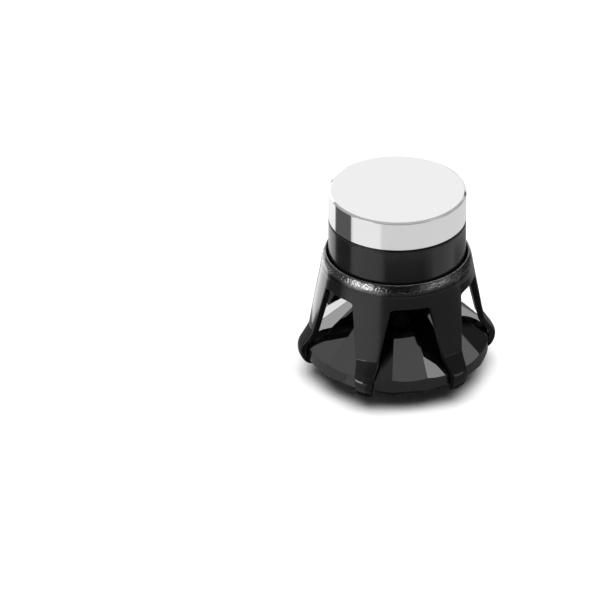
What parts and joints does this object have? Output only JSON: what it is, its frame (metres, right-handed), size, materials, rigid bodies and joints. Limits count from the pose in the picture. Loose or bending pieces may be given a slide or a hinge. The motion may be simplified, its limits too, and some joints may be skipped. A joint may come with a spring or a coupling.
{
  "type": "magnetic earring",
  "caption": "Clip-free stud earring: a black round brilliant in a pronged steel cup, held to the lobe by a disc magnet glued in the cup and a silver disc magnet behind it.",
  "frame": {"origin": "centre of the stone's table, the face on which the earring stands", "axes": "+Z from the stone through the cup to the back disc; two prongs lie on +X and -X; -Y is the side seen in the picture"},
  "size_m": [0.0088, 0.008, 0.0089],
  "materials": {
    "nickel": "bright nickel plate, satin on the flat faces",
    "black_nickel": "smooth black nickel plate, semi-gloss",
    "black_steel": "tumbled black plate over stamped steel, semi-gloss with a fine grain on the rounded shoulder",
    "black_zirconia": "opaque black cubic zirconia, polished flat facets"
  },
  "bodies": {
    "stud": {"setting": "black_steel", "stone": "black_zirconia", "front_magnet": "black_nickel"},
    "back": {"back_disc": "nickel"}
  },
  "joints": [
    {"name": "back_pull_off", "type": "slide", "parent": "stud", "child": "back", "axis": [0, 0, 1], "range_m": [0, 0.01]}
  ]
}
